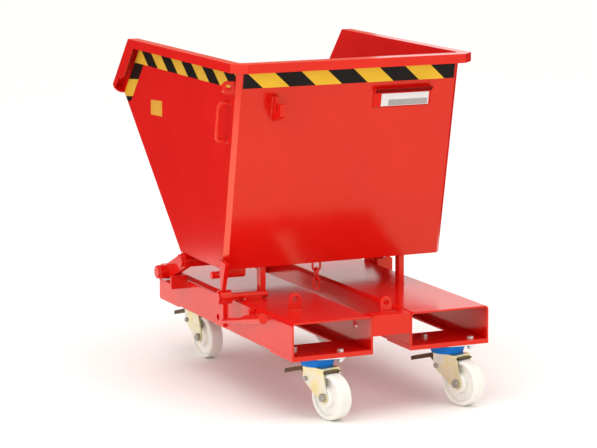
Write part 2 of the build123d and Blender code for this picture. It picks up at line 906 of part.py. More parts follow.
chain_eye = half_ring(chain_eye_radius, -1)
for side in (-1, 1):
    chain_eye += bar_z(chain_wire, 0, floor_z - eye_bend_z, side * chain_eye_radius, 0)
nodes["chain_eye"] = Pos(chain_x, chain_y, eye_bend_z) * chain_eye
upper_top_z = eye_low_z + chain_wire + chain_play
upper_mid_z = upper_top_z - chain_link_radius - upper_link_straight / 2
upper_low_z = upper_mid_z - chain_link_radius - upper_link_straight / 2
lower_top_z = upper_low_z + chain_wire + chain_play
lower_mid_z = lower_top_z - chain_link_radius - lower_link_straight / 2
nodes["chain_link_upper"] = (
    Pos(chain_x, chain_y, upper_mid_z) * Rot(0, 0, 90) * chain_link(upper_link_straight)
)
nodes["chain_link_lower"] = Pos(chain_x, chain_y, lower_mid_z) * chain_link(lower_link_straight)

# Castor levels, from the floor up
axle_z = wheel_diameter / 2
plate_bottom = castor_height - castor_plate_thickness
cup_bottom = plate_bottom - cup_height
seal_bottom = plate_bottom - seal_height
crown_top = cup_bottom - seat_gap
fork_top = seal_bottom - seat_gap
fork_under = fork_top - fork_top_thickness
pin_head_top = fork_under - seat_gap
fork_outer_width = fork_inner_width + 2 * fork_sheet


def castor_top_plate():
    flange = Circle(castor_flange_radius)
    for dx, dy in castor_holes:
        flange += Pos(dx, dy) * Circle(castor_flange_end_radius)
    plate = plate_z(make_hull(flange.edges()), plate_bottom, castor_height)
    for dx, dy in castor_holes:
        plate -= bar_z(castor_hole_diameter, plate_bottom, castor_height, dx, dy)
    plate += bar_z(cup_diameter, cup_bottom, plate_bottom, 0, 0)
    return plate - bar_z(king_pin_diameter, cup_bottom, castor_height, 0, 0)


def castor_seal():
    skirt = seal_bottom_diameter / 2 - seal_wall
    section = outline(
        (cup_diameter / 2, cup_bottom),
        (cup_diameter / 2, plate_bottom),
        (seal_top_diameter / 2, plate_bottom),
        (seal_top_diameter / 2, plate_bottom - seal_wall),
        (seal_bottom_diameter / 2, seal_bottom),
        (skirt, seal_bottom),
        (skirt, cup_bottom),
    )
    return revolve(Plane.XZ * section, Axis.Z)


def castor_king_pin():
    pin = bar_z(king_pin_diameter, pin_head_top, castor_height, 0, 0)
    head_bottom = pin_head_top - king_pin_head_height
    return pin + bar_z(king_pin_head_diameter, head_bottom, pin_head_top, 0, 0)


def castor_bolt(dx, dy):
    head = plate_z(Pos(dx, dy) * hexagon(bolt_head_width), mount_top, mount_top + bolt_head_height)
    return head + bar_z(bolt_diameter, plate_bottom - nut_height - bolt_tail, mount_top, dx, dy)


def castor_nut(dx, dy):
    nut = plate_z(Pos(dx, dy) * hexagon(bolt_head_width), plate_bottom - nut_height, plate_bottom)
    return nut - bar_z(bolt_diameter, plate_bottom - nut_height, plate_bottom, dx, dy)


def castor_fork():
    top = box(
        -fork_outer_width / 2,
        fork_outer_width / 2,
        -fork_rear,
        fork_front,
        fork_under,
        fork_top,
    )
    crown = bar_z(crown_diameter, fork_top, crown_top, 0, 0)
    leg_shape = make_hull(
        (
            outline(
                (fork_front, fork_top - fork_shoulder_drop),
                (fork_front, fork_top),
                (-fork_rear, fork_top),
                (-fork_rear, fork_under),
            )
            + Pos(-castor_offset, axle_z) * Circle(fork_end_radius)
        ).edges()
    )
    leg_shape -= Pos(-castor_offset, axle_z) * Circle(axle_diameter / 2)
    leg_shape -= Pos(brake_pivot_y, brake_pivot_z) * Circle(brake_bolt_diameter / 2)
    fork = top + crown
    for side in (-1, 1):
        fork += plate_x(leg_shape, side * fork_inner_width / 2, side * fork_outer_width / 2)
    bore = king_pin_diameter + 2 * running_clearance
    return fork - bar_z(bore, fork_under, crown_top, 0, 0)


def castor_wheel():
    radius = wheel_diameter / 2
    half = wheel_width / 2
    bore = axle_diameter / 2 + running_clearance
    rim = radius - rim_depth
    section = outline(
        (bore, -hub_width / 2),
        (hub_diameter / 2, -hub_width / 2),
        (hub_diameter / 2 + hub_draft, -web_width / 2),
        (rim, -web_width / 2),
        (rim + rim_draft, -half),
        (radius, -half),
        (radius, half),
        (rim + rim_draft, half),
        (rim, web_width / 2),
        (hub_diameter / 2 + hub_draft, web_width / 2),
        (hub_diameter / 2, hub_width / 2),
        (bore, hub_width / 2),
    )
    tread = section.vertices().filter_by(lambda v: v.X > radius - 0.01)
    section = chamfer(tread, wheel_edge_chamfer)
    wheel = revolve(section, Axis.Y)
    return Pos(0, -castor_offset, axle_z) * Rot(0, 0, -90) * wheel


def cross_bolt(diameter, y, z):
    """Bolt across the fork with a hexagon head and a nut."""
    half = fork_outer_width / 2
    head = 0.55 * diameter
    across = hexagon(1.6 * diameter)
    bolt = bar_x(diameter, -half, half + head, y, z)
    bolt += plate_x(Pos(y, z) * across, -half - head, -half)
    return bolt + plate_x(Pos(y, z) * across, half, half + head)


def brake_eye(y, z):
    """Round end on the brake bolt, and its bore."""
    eye = Pos(y, z) * Circle(brake_hub_radius)
    bore = Pos(y, z) * Circle(brake_bolt_diameter / 2 + running_clearance)
    return eye, bore


def castor_pedal():
    y = brake_pivot_y
    z = brake_pivot_z
    reach = brake_hub_radius - 1
    top = z + pedal_root_rise
    tip = z + pedal_tip_rise
    section = outline(
        (y - reach / 2, z - reach),
        (y + reach, z - reach),
        (y + pedal_root + pedal_thickness, top - 1.3 * pedal_thickness),
        (y + pedal_reach, tip - pedal_thickness),
        (y + pedal_reach, tip),
        (y + pedal_root, top),
        (y + pedal_root / 2, top - reach),
        (y - reach, z + reach / 2),
    )
    eye, bore = brake_eye(y, z)
    return plate_x(section + eye - bore, -pedal_width / 2, pedal_width / 2)


def castor_shoe():
    y = brake_pivot_y
    z = brake_pivot_z
    pad = wheel_diameter + shoe_gap
    low = pad + shoe_bump
    high = low + shoe_sheet
    reach = brake_hub_radius - 1
    eye, bore = brake_eye(y, z)
    arm_section = outline(
        (y - reach, z - reach / 2),
        (-shoe_front - shoe_sheet, low),
        (-shoe_front - shoe_sheet, high),
        (-shoe_front + 2 * shoe_sheet, high),
        (y + reach, z + reach / 2),
    )
    arm_section = arm_section + eye - bore
    plate_section = outline(
        (-shoe_front, low),
        (-castor_offset + shoe_bump_half, low),
        (-castor_offset + shoe_bump_half / 2, pad),
        (-castor_offset - shoe_bump_half / 2, pad),
        (-castor_offset - shoe_bump_half, low),
        (-shoe_rear, low),
        (-shoe_rear, high),
        (-shoe_front, high),
    )
    half = shoe_outer_width / 2
    shoe = plate_x(plate_section, -half, half)
    for side in (-1, 1):
        shoe += plate_x(arm_section, side * (half - shoe_arm), side * half)
    return shoe


# The plates, seals, king pins and bolts stay square to the chassis; the fork and what it
# carries trail to the rear, each swung a little to the right by its own heading.
fixed = {
    "castor_top_plates": [castor_top_plate()],
    "castor_seal_rings": [castor_seal()],
    "castor_king_pins": [castor_king_pin()],
    "castor_bolts": [castor_bolt(dx, dy) for dx, dy in castor_holes],
    "castor_nuts": [castor_nut(dx, dy) for dx, dy in castor_holes],
}
swung = {
    "fork": [castor_fork()],
    "wheel": [castor_wheel()],
    "axle": [
        cross_bolt(axle_diameter, -castor_offset, axle_z),
        cross_bolt(brake_bolt_diameter, brake_pivot_y, brake_pivot_z),
    ],
    "brake_pedal": [castor_pedal()],
    "brake_shoe": [castor_shoe()],
}
for name, solids in fixed.items():
    nodes[name] = [Pos(x, y, 0) * s for x, y in castor_stations.values() for s in solids]
for place, (x, y) in castor_stations.items():
    for name, solids in swung.items():
        station = Pos(x, y, 0) * Rot(0, 0, castor_headings[place])
        nodes["castor_" + place + "_" + name] = [station * s for s in solids]

# Every piece is moved so that the origin lies on the floor under the middle of the part
pieces = {
    name: [s for part in (item if isinstance(item, list) else [item]) for s in part.solids()]
    for name, item in nodes.items()
}
boxes = [s.bounding_box() for group in pieces.values() for s in group]
middle_x = (min(b.min.X for b in boxes) + max(b.max.X for b in boxes)) / 2
middle_y = (min(b.min.Y for b in boxes) + max(b.max.Y for b in boxes)) / 2
floor_level = min(b.min.Z for b in boxes)
print("origin at", round(middle_x, 4), round(middle_y, 4), round(floor_level, 4))
for name, group in pieces.items():
    moved = [Pos(-middle_x, -middle_y, -floor_level) * s for s in group]
    export_step(Compound(moved), "parts/" + name + ".step")
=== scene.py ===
import json
import math
from collections import namedtuple

import bmesh
import bpy
from mathutils import Matrix, Vector


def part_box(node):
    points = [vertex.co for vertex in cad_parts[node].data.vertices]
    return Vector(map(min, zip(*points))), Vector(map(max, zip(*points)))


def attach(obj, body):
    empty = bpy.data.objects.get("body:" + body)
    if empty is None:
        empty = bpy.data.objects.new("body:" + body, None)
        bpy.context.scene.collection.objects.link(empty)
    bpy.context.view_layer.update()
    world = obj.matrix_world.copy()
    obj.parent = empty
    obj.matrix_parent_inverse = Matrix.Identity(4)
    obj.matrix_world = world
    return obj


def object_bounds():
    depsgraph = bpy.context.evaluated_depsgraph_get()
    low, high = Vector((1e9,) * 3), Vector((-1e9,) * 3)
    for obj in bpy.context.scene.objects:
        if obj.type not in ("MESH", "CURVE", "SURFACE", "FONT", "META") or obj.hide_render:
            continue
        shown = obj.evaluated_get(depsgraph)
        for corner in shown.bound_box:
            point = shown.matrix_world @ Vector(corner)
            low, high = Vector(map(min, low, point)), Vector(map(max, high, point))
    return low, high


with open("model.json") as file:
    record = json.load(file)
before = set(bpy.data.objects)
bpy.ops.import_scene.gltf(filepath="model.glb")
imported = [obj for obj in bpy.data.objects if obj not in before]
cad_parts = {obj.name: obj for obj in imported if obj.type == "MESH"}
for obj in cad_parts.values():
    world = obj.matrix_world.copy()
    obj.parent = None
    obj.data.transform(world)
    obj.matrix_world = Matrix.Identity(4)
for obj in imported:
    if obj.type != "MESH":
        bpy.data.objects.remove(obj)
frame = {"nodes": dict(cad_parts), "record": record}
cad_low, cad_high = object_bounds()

scene = bpy.context.scene
nodes = frame["nodes"]

# Points are in millimetres from the fork pocket mouths, as in the part's source
MOUTH_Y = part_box("fork_pocket_left")[0].y


def at(x, y, z):
    """A point of the row frame, in metres."""
    return Vector((x / 1000, y / 1000 + MOUTH_Y, z / 1000))


Box = namedtuple("Box", "x0 x1 y0 y1 z0 z1")


def box_mm(name):
    """A node's box at rest, in millimetres from the pocket mouths."""
    low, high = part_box(name)
    return Box(
        low.x * 1000,
        high.x * 1000,
        (low.y - MOUTH_Y) * 1000,
        (high.y - MOUTH_Y) * 1000,
        low.z * 1000,
        high.z * 1000,
    )


# Sizes shared with the part
FLOOR_Z = 278.0
RIM_Z = 736.0
SIDE_X = 262.5
SHEET = 3.0
REAR_FOOT_Y = 292.0
REAR_LEAN = math.radians(11.8)
REAR_SLOPE = math.tan(REAR_LEAN)
CHUTE_FOOT_Y = 544.0
CHUTE = math.radians(42.7)
CHUTE_LENGTH = 504.5
POCKET_OUTER_X = 230.0
SIDE_PLATE_X = 238.0
POST_WIDTH = 13.0
LIP_Y = CHUTE_FOOT_Y + CHUTE_LENGTH * math.cos(CHUTE)
LIP_Z = FLOOR_Z + CHUTE_LENGTH * math.sin(CHUTE)


def rear_y(z):
    """Outer face of the leaning rear panel."""
    return REAR_FOOT_Y - (z - FLOOR_Z) * REAR_SLOPE


# Helpers for shader nodes
def principled(material):
    return material.node_tree.nodes["Principled BSDF"]


def new_material(name):
    material = bpy.data.materials.new(name)
    material.use_nodes = True
    return material, material.node_tree, principled(material)


def set_inputs(node, values):
    for key, value in values.items():
        node.inputs[key].default_value = value


def add(tree, kind, values=None):
    node = tree.nodes.new(kind)
    set_inputs(node, values or {})
    return node


def noise(tree, scale, detail=3.0, rough=0.5, stretch=None):
    """Noise over the object's own coordinates, stretched along its axes if asked."""
    place = add(tree, "ShaderNodeTexCoord").outputs["Object"]
    if stretch is not None:
        mapping = add(tree, "ShaderNodeMapping", {"Scale": stretch})
        tree.links.new(place, mapping.inputs["Vector"])
        place = mapping.outputs["Vector"]
    node = add(tree, "ShaderNodeTexNoise", {"Scale": scale, "Detail": detail, "Roughness": rough})
    tree.links.new(place, node.inputs["Vector"])
    return node.outputs["Fac"]


def ramp(tree, value, stops):
    node = tree.nodes.new("ShaderNodeValToRGB")
    elements = node.color_ramp.elements
    while len(elements) < len(stops):
        elements.new(0.5)
    for element, (place, color) in zip(elements, stops):
        element.position = place
        element.color = (*color, 1.0)
    tree.links.new(value, node.inputs["Fac"])
    return node.outputs["Color"]


def span(tree, value, low, high):
    node = add(tree, "ShaderNodeMapRange", {"To Min": low, "To Max": high})
    tree.links.new(value, node.inputs["Value"])
    return node.outputs["Result"]


def bump(tree, shader, layers):
    """Layers of (height, strength, distance), the finest last."""
    normal = None
    for height, strength, distance in layers:
        node = add(tree, "ShaderNodeBump", {"Strength": strength, "Distance": distance})
        tree.links.new(height, node.inputs["Height"])
        if normal is not None:
            tree.links.new(normal, node.inputs["Normal"])
        normal = node.outputs["Normal"]
    tree.links.new(normal, shader.inputs["Normal"])


MOTTLE_LOW = 0.3
MOTTLE_HIGH = 0.7


def mottle(deep, light):
    """Ramp stops from a deep to a light tone."""
    return [(MOTTLE_LOW, deep), (MOTTLE_HIGH, light)]


# Materials
def powder_coat(name, deep, light):
    """Glossy powder coat: faint clouding, sheet ripple and orange peel."""
    material, tree, shader = new_material(name)
    cloud = noise(tree, scale=5.0, detail=4.0, rough=0.6)
    gloss = noise(tree, scale=34.0, detail=4.0, rough=0.6)
    ripple = noise(tree, scale=7.0, detail=2.0, rough=0.45)
    peel = noise(tree, scale=620.0, detail=2.0, rough=0.5)
    tree.links.new(ramp(tree, cloud, mottle(deep, light)), shader.inputs["Base Color"])
    tree.links.new(span(tree, gloss, low=0.14, high=0.21), shader.inputs["Roughness"])
    bump(tree, shader, [(ripple, 0.10, 0.01), (peel, 0.05, 0.0003)])
    set_inputs(
        shader,
        {
            "IOR": 1.5,
            "Specular Tint": (1.0, 0.84, 0.50, 1.0),
            "Coat Weight": 0.06,
            "Coat Roughness": 0.1,
        },
    )
    return material


# How far down a face's normal points where the painted shade starts, and where it is darkest
OVERHANG_START = -0.43
OVERHANG_FULL = -0.53


def coat_with_painted_shade(name, deep, light, painted_shade_tone):
    """Powder coat with painted shade: faces that overhang go dark, standing in for the shade
    beneath a hood.
    """
    material = powder_coat(name, deep, light)
    tree, shader = material.node_tree, principled(material)
    coat = shader.inputs["Base Color"].links[0].from_socket
    axes = add(tree, "ShaderNodeSeparateXYZ")
    tree.links.new(add(tree, "ShaderNodeTexCoord").outputs["Normal"], axes.inputs["Vector"])
    overhang = add(
        tree, "ShaderNodeMapRange", {"From Min": OVERHANG_START, "From Max": OVERHANG_FULL}
    )
    tree.links.new(axes.outputs["Z"], overhang.inputs["Value"])
    blend = add(tree, "ShaderNodeMixRGB", {"Color2": (*painted_shade_tone, 1.0)})
    tree.links.new(overhang.outputs["Result"], blend.inputs["Fac"])
    tree.links.new(coat, blend.inputs["Color1"])
    tree.links.new(blend.outputs["Color"], shader.inputs["Base Color"])
    set_inputs(shader, {"Specular IOR Level": 0.03, "Coat Weight": 0.0})
    return material


def plated(name, stops, rough, grain, blotch=45.0, metallic=0.85):
    """Zinc plate over pressed steel: blotches, fine brushing, small dents."""
    material, tree, shader = new_material(name)
    blotches = noise(tree, scale=blotch, detail=5.0, rough=0.65)
    gloss = noise(tree, scale=160.0, detail=4.0, rough=0.6)
    dents = noise(tree, scale=55.0, detail=3.0, rough=0.5)
    scratches = noise(tree, scale=240.0, detail=3.0, rough=0.6, stretch=grain)
    tree.links.new(ramp(tree, blotches, stops), shader.inputs["Base Color"])
    tree.links.new(span(tree, gloss, *rough), shader.inputs["Roughness"])
    bump(tree, shader, [(dents, 0.08, 0.002), (scratches, 0.05, 0.0005)])
    set_inputs(shader, {"Metallic": metallic})
    return material


def moulded(name, stops, rough, coat=0.0, grain_scale=420.0, specular=0.5):
    """Moulded or printed plastic: slight mottling and a fine skin texture."""
    material, tree, shader = new_material(name)
    cloud = noise(tree, scale=26.0, detail=4.0, rough=0.6)
    gloss = noise(tree, scale=90.0, detail=3.0, rough=0.6)
    skin = noise(tree, scale=grain_scale, detail=2.0, rough=0.5)
    tree.links.new(ramp(tree, cloud, stops), shader.inputs["Base Color"])
    tree.links.new(span(tree, gloss, *rough), shader.inputs["Roughness"])
    bump(tree, shader, [(skin, 0.08, 0.0004)])
    set_inputs(
        shader, {"Coat Weight": coat, "Coat Roughness": 0.2, "Specular IOR Level": specular}
    )
    return material


def printed(name, deep, light, specular=0.2):
    """Printed foil with a fine satin skin."""
    return moulded(
        name, mottle(deep, light), rough=(0.45, 0.58), grain_scale=700.0, specular=specular
    )


red = powder_coat("red_powder_coat", (0.63, 0.0035, 0.003), (0.70, 0.0060, 0.004))
bead_red = powder_coat("red_powder_coat_weld", (0.59, 0.0035, 0.003), (0.66, 0.0050, 0.004))
# The plate holder's hood face carries painted shade. Its coat tones hold more green and blue than
# the main red's, a painted sheen in place of the reflection that the turned-down specular no
# longer gives.
holder_red_painted_shade = coat_with_painted_shade(
    "red_powder_coat_holder_painted_shade",
    deep=(0.63, 0.020, 0.013),
    light=(0.70, 0.024, 0.016),
    painted_shade_tone=(0.19, 0.0012, 0.0015),
)
bright_zinc = plated(
    "bright_zinc",
    mottle((0.62, 0.62, 0.60), (0.82, 0.82, 0.80)),
    rough=(0.22, 0.42),
    grain=(1, 1, 8),
)
dull_steel = plated(
    "dull_steel",
    mottle((0.30, 0.29, 0.27), (0.46, 0.44, 0.41)),
    rough=(0.3, 0.5),
    grain=(1, 1, 8),
)
yellow_zinc = plated(
    "yellow_zinc",
    [(0.36, (0.74, 0.75, 0.71)), (0.48, (0.80, 0.75, 0.50)), (0.62, (0.80, 0.69, 0.30))],
    rough=(0.22, 0.38),
    grain=(1, 1, 6),
    blotch=21.0,
)
# The pedals' yellow-zinc plate is painted a dark bronze, as painted shade for the shadow the near
# pedal sits in.
pedal_brown = plated(
    "pedal_zinc_painted_shade",
    mottle((0.066, 0.032, 0.015), (0.15, 0.084, 0.043)),
    rough=(0.28, 0.45),
    grain=(1, 1, 6),
    blotch=30.0,
)
plate_white = plated(
    "plate_satin",
    mottle((0.68, 0.67, 0.65), (0.76, 0.75, 0.73)),
    rough=(0.35, 0.5),
    grain=(9, 1, 1),
    metallic=0.25,
)
blue_seal = moulded(
    "blue_seal",
    mottle((0.003, 0.14, 0.52), (0.006, 0.18, 0.62)),
    rough=(0.4, 0.55),
    specular=0.15,
)
wheel_white = moulded(
    "wheel_polyamide",
    mottle((0.78, 0.76, 0.69), (0.85, 0.835, 0.775)),
    rough=(0.38, 0.52),
    coat=0.15,
)
set_inputs(principled(wheel_white), {"Subsurface Weight": 0.15, "Subsurface Scale": 0.004})
plate_grey = moulded(
    "plate_grey_field",
    mottle((0.33, 0.315, 0.295), (0.38, 0.365, 0.345)),
    rough=(0.4, 0.55),
)
tape_yellow = printed("tape_yellow", (0.80, 0.49, 0.022), (0.85, 0.54, 0.032))
# The side tape is the rear tape's yellow painted darker, as painted shade for the less lit sides.
side_tape_yellow_painted_shade = printed("tape_yellow_side_painted_shade", (0.63, 0.355, 0.018), (0.68, 0.395, 0.026))
patch_yellow = printed("patch_yellow", (0.60, 0.28, 0.022), (0.68, 0.33, 0.032))
tape_black = printed("tape_black", (0.007, 0.005, 0.004), (0.011, 0.008, 0.006), specular=0.14)

slot_material = {
    "red_paint": red,
    "bright_zinc": bright_zinc,
    "yellow_zinc": yellow_zinc,
    "blue_seal": blue_seal,
    "wheel_white": wheel_white,
    "pedal_brown": pedal_brown,
    "plate_white": plate_white,
}
slot_of = {row["node"]: row["material_slot"] for row in frame["record"]["subparts"]}

# The CAD nodes keep their shape and get materials and softened edges, with widths in metres
SOFT_EDGE = {
    "red_paint": 0.0009,
    "yellow_zinc": 0.0006,
    "pedal_brown": 0.0006,
    "wheel_white": 0.0024,
}
FINE_EDGE = 0.0004
EDGE_STEPS = 2
WHEEL_EDGE_STEPS = 3
JOIN_WITHIN = 0.00001
FLAT_WITHIN = math.radians(0.5)
SHARP_FROM = math.radians(38)
FACE_WEIGHT = 90


def finish_of(name):
    if name.endswith("_axle"):
        return dull_steel
    if name == "plate_holder":
        return holder_red_painted_shade
    return slot_material[slot_of[name]]


def soften(node, width, steps):
    """Joins the facets of flat faces, then rounds the sharp edges."""
    weld = node.modifiers.new("join", "WELD")
    weld.merge_threshold = JOIN_WITHIN
    flat = node.modifiers.new("flat", "DECIMATE")
    flat.decimate_type = "DISSOLVE"
    flat.angle_limit = FLAT_WITHIN
    edge = node.modifiers.new("edge", "BEVEL")
    edge.width = width
    edge.segments = steps
    edge.limit_method = "ANGLE"
    edge.angle_limit = SHARP_FROM
    edge.use_clamp_overlap = True
    edge.loop_slide = False
    shade = node.modifiers.new("shade", "WEIGHTED_NORMAL")
    shade.weight = FACE_WEIGHT


for name, node in nodes.items():
    node.data.materials.clear()
    node.data.materials.append(finish_of(name))
    slot = slot_of[name]
    fine = name.startswith("pivot_arm")
    soften(
        node,
        FINE_EDGE if fine else SOFT_EDGE.get(slot, FINE_EDGE),
        WHEEL_EDGE_STEPS if slot == "wheel_white" else EDGE_STEPS,
    )


# Pieces of the scene
def piece(name, mesh, materials, body):
    obj = bpy.data.objects.new(name, mesh)
    scene.collection.objects.link(obj)
    for material in materials:
        mesh.materials.append(material)
    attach(obj, body)


def clip(polygon, a, b, c):
    """The part of a convex polygon of (u, v) points where a*u + b*v >= c."""
    kept = []
    for i, here in enumerate(polygon):
        after = polygon[(i + 1) % len(polygon)]
        in_here = a * here[0] + b * here[1] - c
        in_after = a * after[0] + b * after[1] - c
        if in_here >= 0:
            kept.append(here)
        if (in_here > 0 > in_after) or (in_here < 0 < in_after):
            t = in_here / (in_here - in_after)
            kept.append((here[0] + (after[0] - here[0]) * t, here[1] + (after[1] - here[1]) * t))
    return kept


TAPE_LIFT = 0.1
TAPE_THICK = 0.3


def foil(name, fields, place, materials, lift=TAPE_LIFT, thickness=TAPE_THICK):
    """Flat foil on the hopper: fields of (polygon, material index), each a thin closed plate."""
    mesh = bpy.data.meshes.new(name)
    bm = bmesh.new()
    for polygon, index in fields:
        low = [bm.verts.new(place(u, v, lift)) for u, v in polygon]
        high = [bm.verts.new(place(u, v, lift + thickness)) for u, v in polygon]
        count = len(polygon)
        faces = [bm.faces.new(high), bm.faces.new(list(reversed(low)))]
        for i in range(count):
            j = (i + 1) % count
            faces.append(bm.faces.new((low[i], low[j], high[j], high[i])))
        for face in faces:
            face.material_index = index
    bmesh.ops.recalc_face_normals(bm, faces=bm.faces[:])
    bm.to_mesh(mesh)
    bm.free()
    piece(name, mesh, materials, "hopper")


def striped(band, first, width, lean, level, count, start_black):
    """Cuts a band into leaning stripes. Boundaries are u = first + k*width + lean*(level - v)."""
    fields = []
    black = start_black
    for k in range(count):
        low = first + (k - 1) * width
        high = first + k * width
        stripe = clip(band, 1, lean, low + lean * level) if k > 0 else band
        stripe = clip(stripe, -1, -lean, -(high + lean * level)) if k < count - 1 else stripe
        if len(stripe) >= 3:
            fields.append((stripe, 1 if black else 0))
        black = not black
    return fields


TAPE_LOW = 679.0
TAPE_HIGH = 731.0
STRIPE = 61.5

# Hazard tape on the rear panel
REAR_TAPE_X = 250.0
REAR_TAPE_LOW = TAPE_LOW + 1
REAR_COS = math.cos(REAR_LEAN)
REAR_SIN = math.sin(REAR_LEAN)


def on_rear(u, v, lift):
    return at(u, rear_y(v) - lift * REAR_COS, v - lift * REAR_SIN)


rear_band = [
    (-REAR_TAPE_X, REAR_TAPE_LOW),
    (REAR_TAPE_X, REAR_TAPE_LOW),
    (REAR_TAPE_X, TAPE_HIGH),
    (-REAR_TAPE_X, TAPE_HIGH),
]
rear_stripes = striped(
    rear_band, first=-237.8, width=STRIPE, lean=1.14, level=710.0, count=10, start_black=True
)
foil("hazard_tape_rear", rear_stripes, on_rear, [tape_yellow, tape_black])

# Hazard tape along the rim and down the ear of both sides
SIDE_STRIPE = STRIPE * 1.005
SIDE_TAPE_REAR = 215.0
SIDE_TAPE_FRONT = 960.0
SIDE_TAPE_FOOT = 540.0
REAR_MARGIN = 13.0
CHUTE_MARGIN = 2.0
EAR_OUT = 28.0
EAR_IN = 70.0
EAR_CUTS = (TAPE_LOW + 40, 675.5, 637.4, 597.4, 586.0)
EAR_CUT_LEAN = 0.095
EAR_CUT_Y = 850.0

ear_u, ear_v = math.cos(CHUTE), math.sin(CHUTE)
ear_edge = ear_u * LIP_Y + ear_v * LIP_Z
chute_face = -ear_v * CHUTE_FOOT_Y + ear_u * FLOOR_Z + CHUTE_MARGIN
side_field = [
    (SIDE_TAPE_REAR, SIDE_TAPE_FOOT),
    (SIDE_TAPE_FRONT, SIDE_TAPE_FOOT),
    (SIDE_TAPE_FRONT, TAPE_HIGH),
    (SIDE_TAPE_REAR, TAPE_HIGH),
]
side_field = clip(side_field, 1, REAR_SLOPE, REAR_FOOT_Y + REAR_MARGIN + REAR_SLOPE * FLOOR_Z)
side_field = clip(side_field, -ear_u, -ear_v, -(ear_edge - EAR_OUT))
side_field = clip(side_field, -ear_v, ear_u, chute_face)
rim_band = clip(side_field, 0, 1, TAPE_LOW)
ear_band = clip(clip(side_field, ear_u, ear_v, ear_edge - EAR_IN), 0, -1, -TAPE_LOW)

side_stripes = striped(
    rim_band, first=219.5, width=SIDE_STRIPE, lean=-1.35, level=709.5, count=11, start_black=False
)
for k, (high, low) in enumerate(zip(EAR_CUTS, EAR_CUTS[1:])):
    cut = clip(ear_band, -EAR_CUT_LEAN, -1, -(high + EAR_CUT_LEAN * EAR_CUT_Y))
    cut = clip(cut, EAR_CUT_LEAN, 1, low + EAR_CUT_LEAN * EAR_CUT_Y)
    if len(cut) >= 3:
        side_stripes.append((cut, k % 2))


def on_side(sign):
    """Place of a point of a side sheet, the left one for -1 and the right one for 1."""
    return lambda u, v, lift: at(sign * (SIDE_X + lift), u, v)


for side, sign in (("left", -1), ("right", 1)):
    foil(
        "hazard_tape_" + side,
        side_stripes,
        on_side(sign),
        [side_tape_yellow_painted_shade, tape_black],
    )

# Plain yellow patch on the left side
PATCH = [(651, 572), (721, 569), (720, 603), (650, 607)]
foil("plain_patch", [(PATCH, 0)], on_side(-1), [patch_yellow])

# Weld beads, with their steps and radii in metres
BEAD_SIDES = 6
BEAD_STEP = 0.0014
BEAD_END = 0.45
BEAD_WAVES = ((0.14, 1.9, 0.0), (0.07, 0.37, 1.3))
CHASSIS_BEAD = 0.0019
HOPPER_BEAD = 0.0017


def swelling(i):
    """Share of its radius that a bead has at its ring i, from waves of (height, pace, start)."""
    share = 1.0
    for height, pace, start in BEAD_WAVES:
        share += height * math.sin(i * pace + start)
    return share


def bead(name, paths, radius, body):
    """Weld beads along polylines of row-frame points, with the small waves of a laid bead."""
    mesh = bpy.data.meshes.new(name)
    bm = bmesh.new()
    turns = [2 * math.pi * k / BEAD_SIDES for k in range(BEAD_SIDES)]
    for path in paths:
        points = []
        for a, b in zip(path, path[1:]):
            count = max(1, int((b - a).length / BEAD_STEP))
            points += [a.lerp(b, i / count) for i in range(count)]
        points.append(path[-1])
        last = len(points) - 1
        rings = []
        for i, p in enumerate(points):
            ahead = points[min(i + 1, last)] - points[max(i - 1, 0)]
            ahead.normalize()
            across = ahead.orthogonal().normalized()
            up = ahead.cross(across)
            r = radius * swelling(i) * (BEAD_END if i in (0, last) else 1.0)
            rings.append(
                [bm.verts.new(p + (across * math.cos(t) + up * math.sin(t)) * r) for t in turns]
            )
        for ring, other in zip(rings, rings[1:]):
            best = min(range(BEAD_SIDES), key=lambda s: (other[s].co - ring[0].co).length)
            for k in range(BEAD_SIDES):
                a, b = ring[k], ring[(k + 1) % BEAD_SIDES]
                c, d = other[(k + 1 + best) % BEAD_SIDES], other[(k + best) % BEAD_SIDES]
                bm.faces.new((a, b, c, d))
        bm.faces.new(list(reversed(rings[0])))
        bm.faces.new(rings[-1])
    bmesh.ops.recalc_face_normals(bm, faces=bm.faces[:])
    for face in bm.faces:
        face.smooth = True
    bm.to_mesh(mesh)
    bm.free()
    piece(name, mesh, [bead_red], body)


def line(*points):
    return [at(*p) for p in points]


def foot_loop(x0, x1, y0, y1, z):
    return line((x0, y0, z), (x1, y0, z), (x1, y1, z), (x0, y1, z), (x0, y0, z))


def circle_x(x, y, z, radius, count=20):
    turn = [2 * math.pi * k / count for k in range(count + 1)]
    return [at(x, y + radius * math.cos(t), z + radius * math.sin(t)) for t in turn]


# Welds of the chassis: posts, lugs, pivot brackets and side plates
BRACKET_WELD_TOP = 206.0
SIDE_PLATE_MARGIN = 4.0

